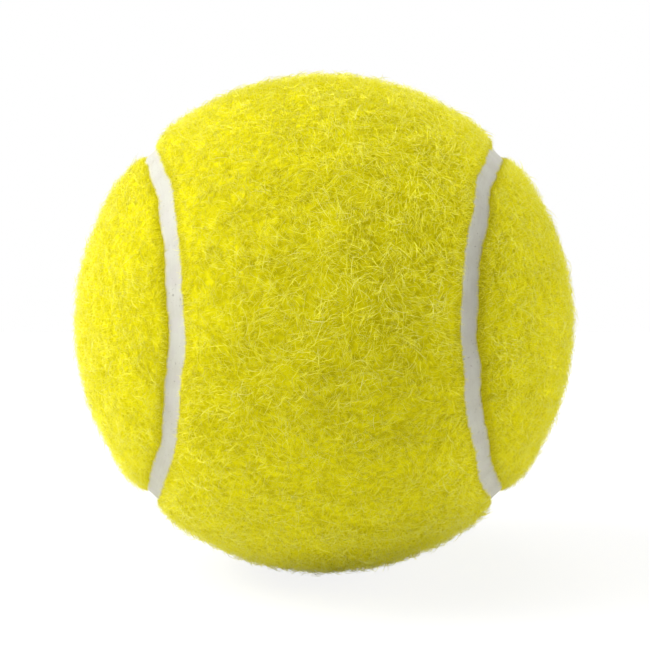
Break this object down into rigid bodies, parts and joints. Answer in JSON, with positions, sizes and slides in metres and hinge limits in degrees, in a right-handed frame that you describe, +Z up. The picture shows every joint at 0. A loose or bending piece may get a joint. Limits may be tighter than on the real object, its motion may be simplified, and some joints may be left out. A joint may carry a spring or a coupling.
{
  "type": "tennis ball",
  "caption": "Hollow rubber ball covered in yellow felt, with interlocking dumbbell panels joined by a pale recessed rubber seam.",
  "frame": {"origin": "centre of the ball", "axes": "+Z up, -Y towards the viewer through the middle of the front panel's waist, +X to the viewer's right; the Y axis is the axis on which the two panels swap by a quarter turn"},
  "size_m": [0.067, 0.067, 0.067],
  "materials": {
    "core_rubber": "matte",
    "cement": "satin",
    "felt": "matte",
    "seam_rubber": "matte"
  },
  "bodies": {
    "root": {"core_half_front": "core_rubber", "core_half_back": "core_rubber", "core_joint": "cement", "core_cement": "cement", "panel_cement_front": "cement", "panel_cement_back": "cement", "felt_panel_front": "felt", "felt_panel_back": "felt", "seam": "seam_rubber"}
  },
  "joints": []
}
